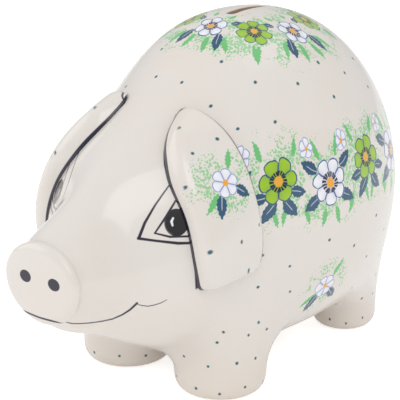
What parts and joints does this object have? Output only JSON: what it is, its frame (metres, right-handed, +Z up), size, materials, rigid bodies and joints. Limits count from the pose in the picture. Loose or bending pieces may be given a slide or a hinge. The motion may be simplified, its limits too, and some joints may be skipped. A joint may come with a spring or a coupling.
{
  "type": "piggy bank",
  "caption": "Hollow glazed ceramic pig money bank with a coin slot in the back, flap ears, a curled tail and a soft stopper in the belly.",
  "frame": {"origin": "centre of the bounding box in X and Y, on the plane of the soles", "axes": "+Z up, the snout points to -Y, +X is the pig's left flank"},
  "size_m": [0.1424, 0.2424, 0.1771],
  "materials": {
    "glazed_body": "glossy clear glaze over ivory stoneware with a painted floral decoration, unglazed soles",
    "glazed_trim": "glossy clear glaze over ivory stoneware, painted",
    "soft_rubber": "matt black"
  },
  "bodies": {
    "pig": {"body_shell": "glazed_body", "ear_left": "glazed_trim", "ear_right": "glazed_trim", "tail": "glazed_trim"},
    "bung": {"stopper": "soft_rubber"}
  },
  "joints": [
    {"name": "stopper_slide", "type": "slide", "parent": "pig", "child": "bung", "axis": [0, 0, -1], "range_m": [0, 0.014]}
  ]
}
